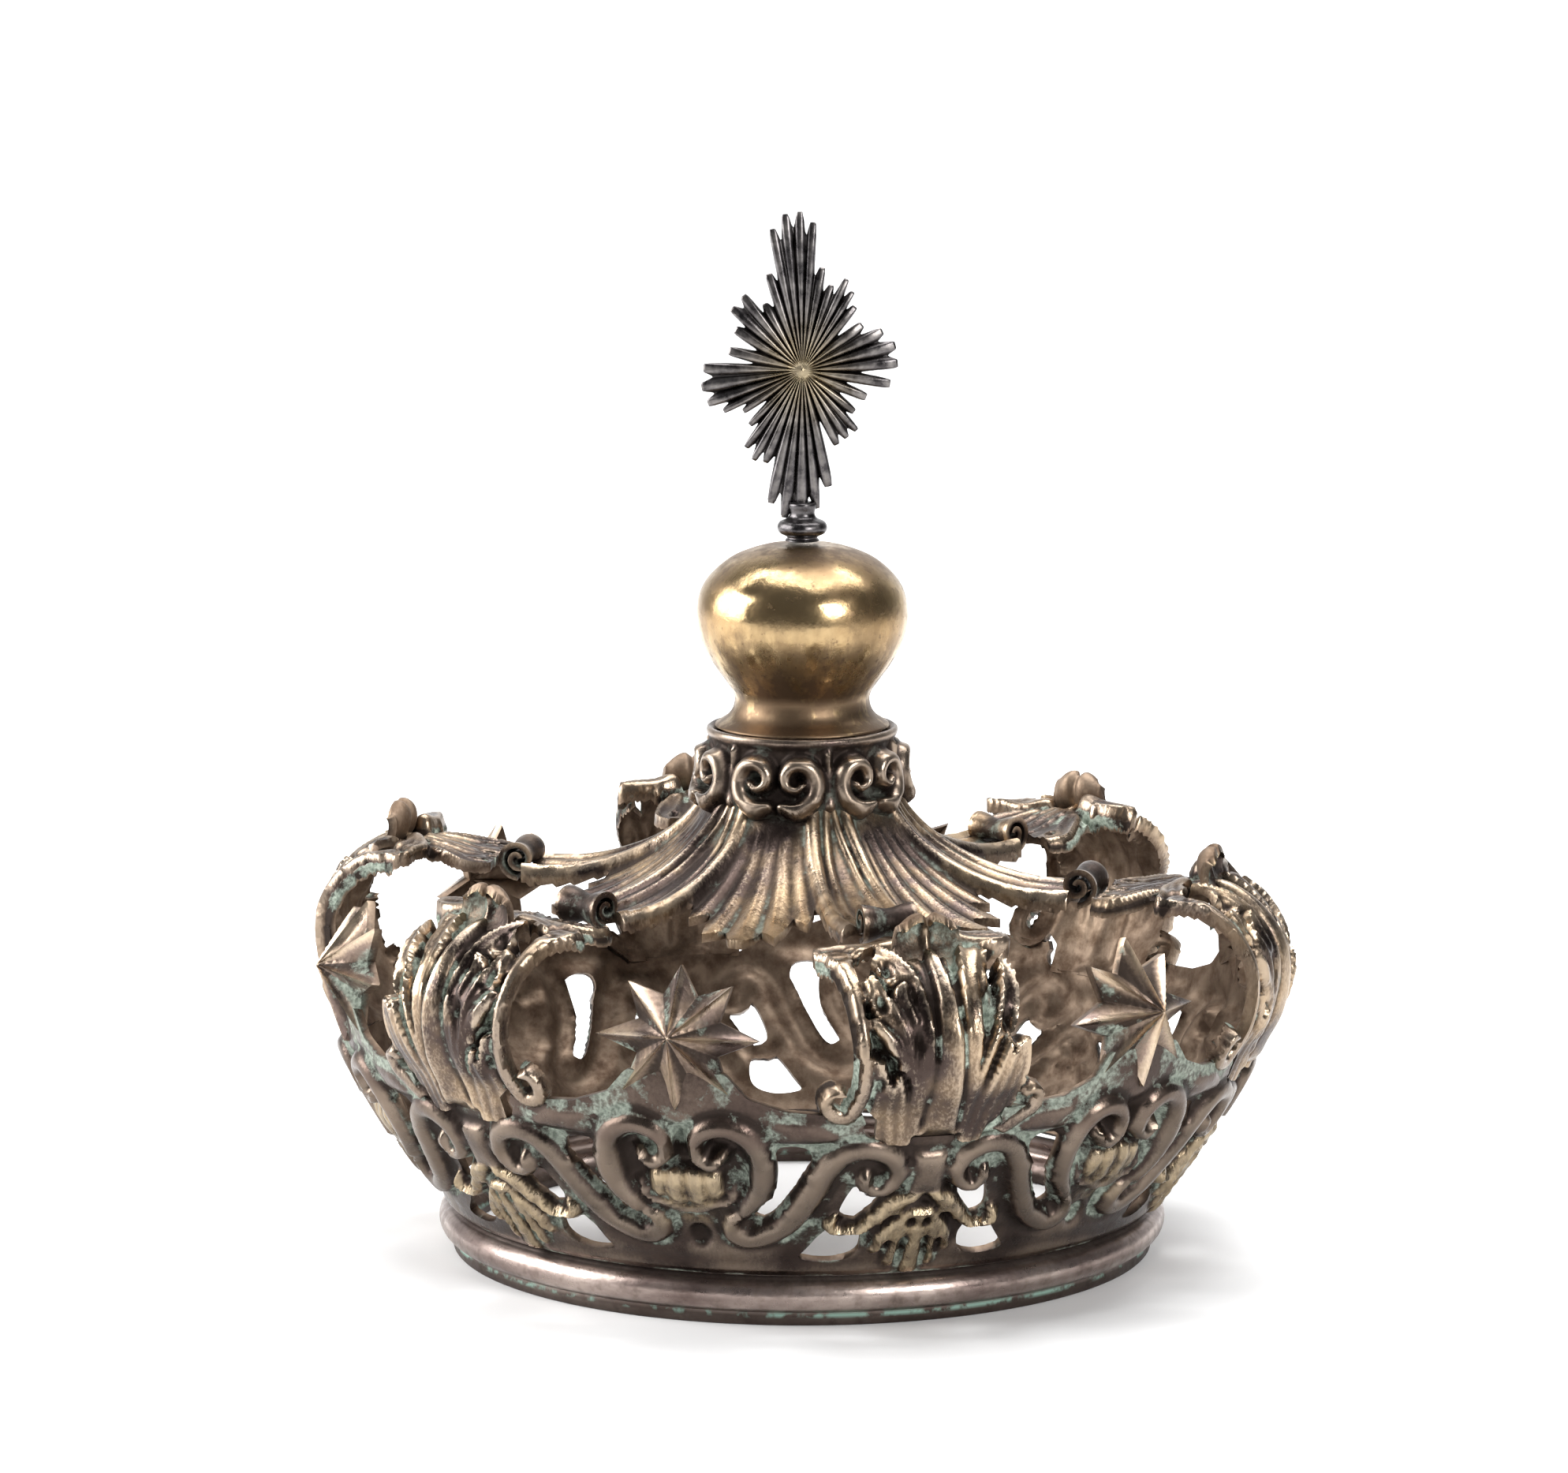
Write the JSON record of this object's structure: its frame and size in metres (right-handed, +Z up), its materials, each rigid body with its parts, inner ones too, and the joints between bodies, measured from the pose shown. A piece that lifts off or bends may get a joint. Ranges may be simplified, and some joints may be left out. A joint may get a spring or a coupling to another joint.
{
  "type": "ceremonial statue crown",
  "caption": "Closed silver crown with a pierced flaring band, acanthus arches, fluted canopy, gilt orb and a rayed cross on top.",
  "frame": {"origin": "centre of the foot ring's underside, on the surface the crown stands on", "axes": "+Z up the crown's middle line to the cross; -Y is the front, towards which the cross's flat face looks; +X is the viewer's right from the front"},
  "size_m": [0.1489, 0.1484, 0.1568],
  "materials": {
    "silver": "chased silver, warm grey-brown tarnish with brighter ridges",
    "gilt": "polished gilding, worn and stained at top and bottom",
    "dark_silver": "blackened silver with paler ray crests"
  },
  "bodies": {
    "root": {"foot_ring": "silver", "circlet": "silver", "arch_1": "silver", "arch_2": "silver", "arch_3": "silver", "arch_4": "silver", "arch_5": "silver", "arch_6": "silver", "canopy": "silver", "orb": "gilt", "cross": "dark_silver"}
  },
  "joints": []
}
